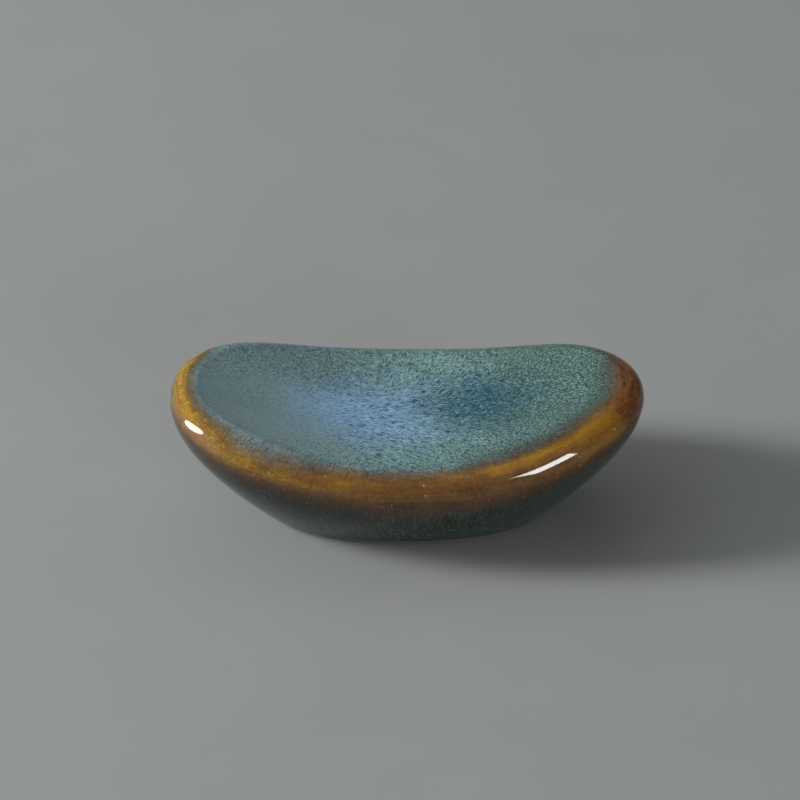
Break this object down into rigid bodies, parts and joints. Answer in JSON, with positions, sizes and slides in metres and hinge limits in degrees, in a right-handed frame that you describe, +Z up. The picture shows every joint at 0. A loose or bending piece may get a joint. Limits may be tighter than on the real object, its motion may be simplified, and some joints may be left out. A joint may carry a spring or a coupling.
{
  "type": "chopstick rest",
  "caption": "Pillow-shaped glazed stoneware rest with a dished saddle top that holds chopstick tips off the table.",
  "frame": {"origin": "on the table, under the middle of the rest's bounding box", "axes": "+X along the rest, +Y from front to back, +Z up"},
  "size_m": [0.065, 0.0348, 0.0201],
  "materials": {
    "bare_stoneware": "matt, unglazed fired clay",
    "amber_glaze": "glossy, amber to brown",
    "blue_green_glaze": "glossy, speckled blue-green, bluer where it pools",
    "dark_green_glaze": "glossy, dark green"
  },
  "bodies": {
    "root": {"stoneware_body": "bare_stoneware", "amber_base_glaze": "amber_glaze", "well_overglaze": "blue_green_glaze", "flank_overglaze": "dark_green_glaze"}
  },
  "joints": []
}
